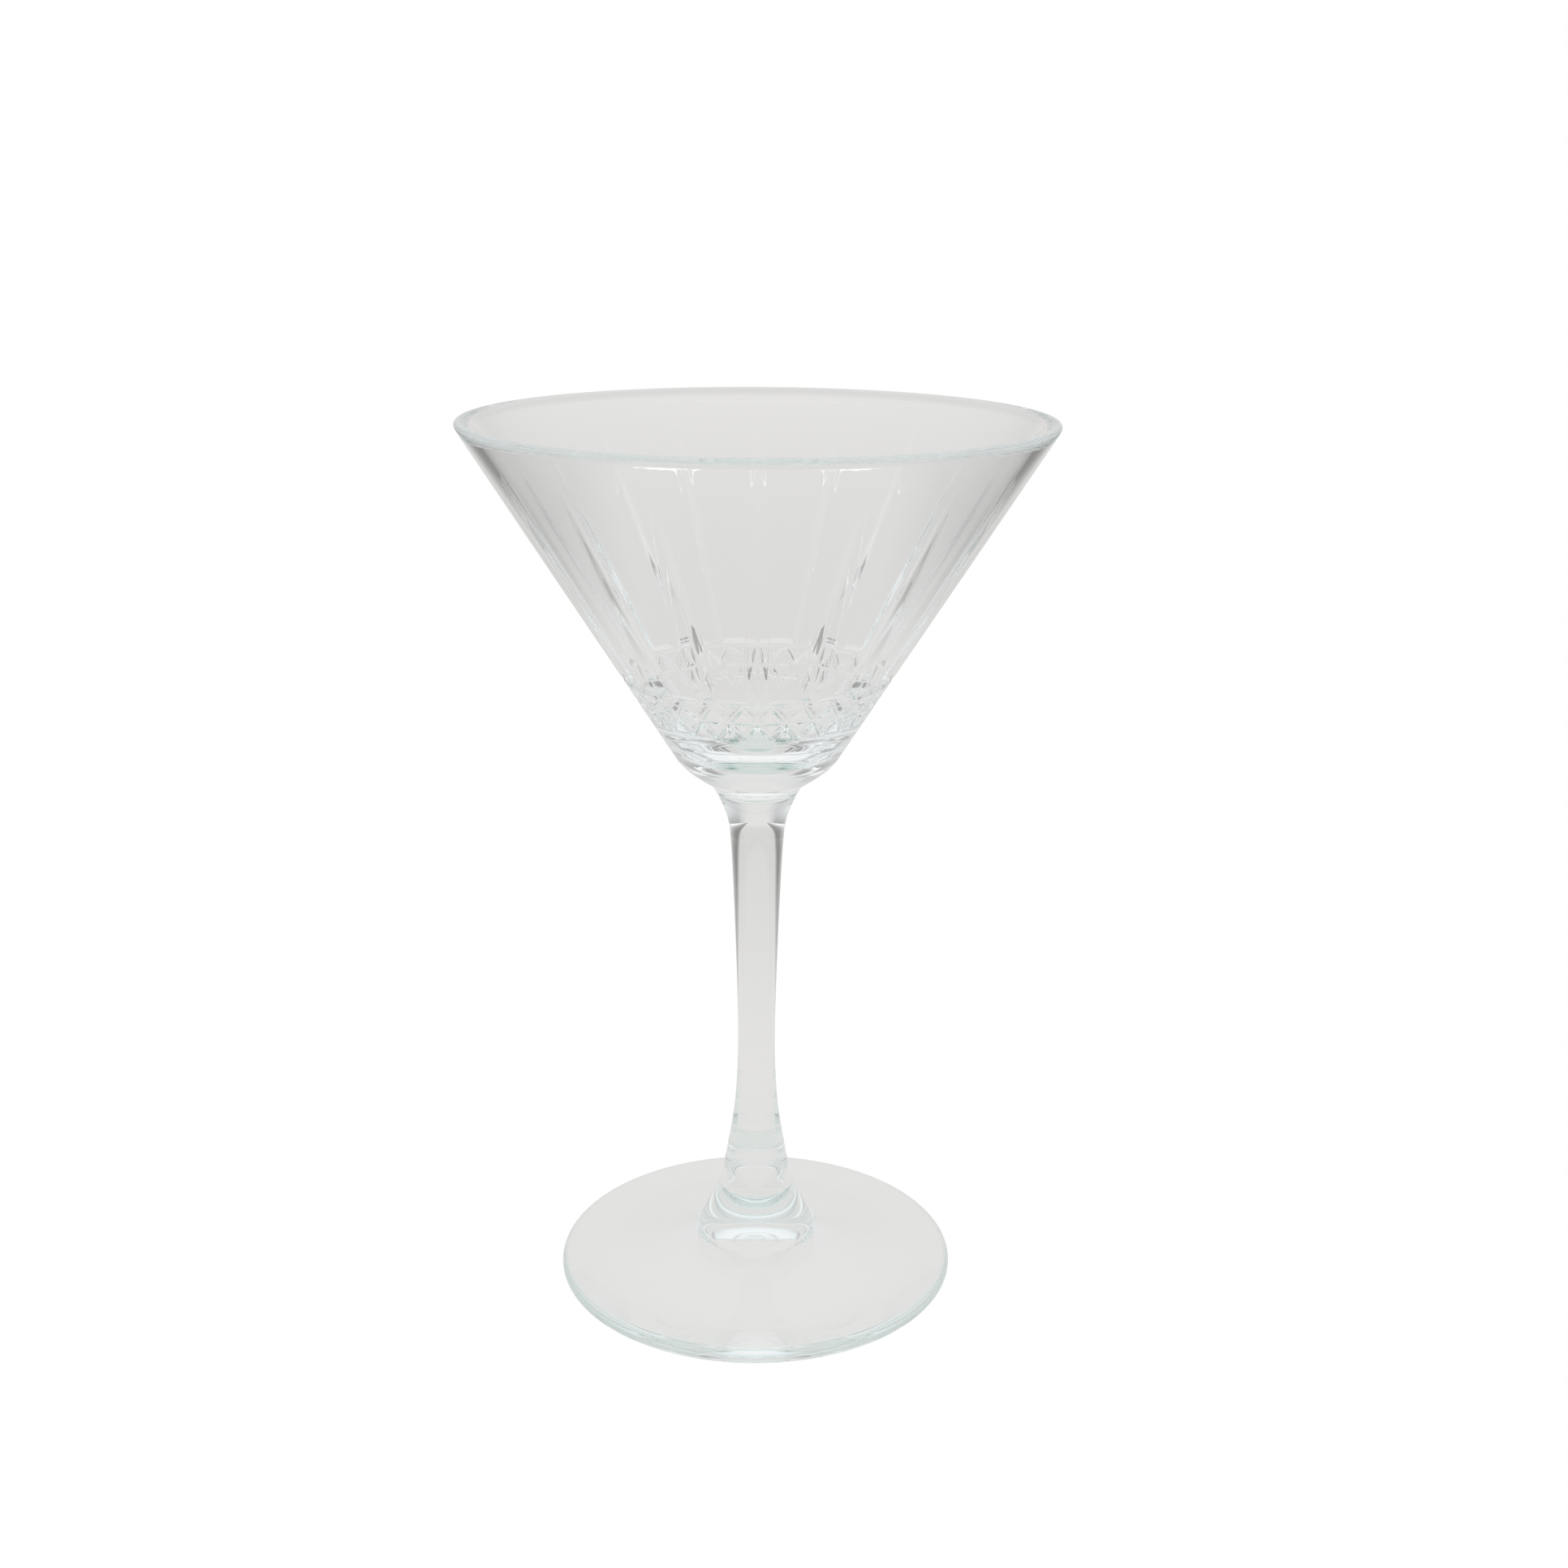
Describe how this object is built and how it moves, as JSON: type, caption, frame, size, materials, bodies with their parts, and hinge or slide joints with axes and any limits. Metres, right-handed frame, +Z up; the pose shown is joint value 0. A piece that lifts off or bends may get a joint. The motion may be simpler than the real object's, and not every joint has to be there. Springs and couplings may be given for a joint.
{
  "type": "martini glass",
  "caption": "Stemmed cocktail glass in clear glass: a wide conical bowl with tapering flutes and a cut diamond band, on a slim waisted stem and a round foot.",
  "frame": {"origin": "centre of the flat ring that the foot rests on", "axes": "+Z up along the axis of the stem and the bowl; one flute faces -Y"},
  "size_m": [0.1096, 0.1098, 0.1725],
  "materials": {
    "bowl_glass": "clear, fire polished",
    "stem_glass": "clear, fire polished",
    "foot_glass": "clear, fire polished"
  },
  "bodies": {
    "root": {"bowl": "bowl_glass", "stem": "stem_glass", "foot": "foot_glass"}
  },
  "joints": []
}
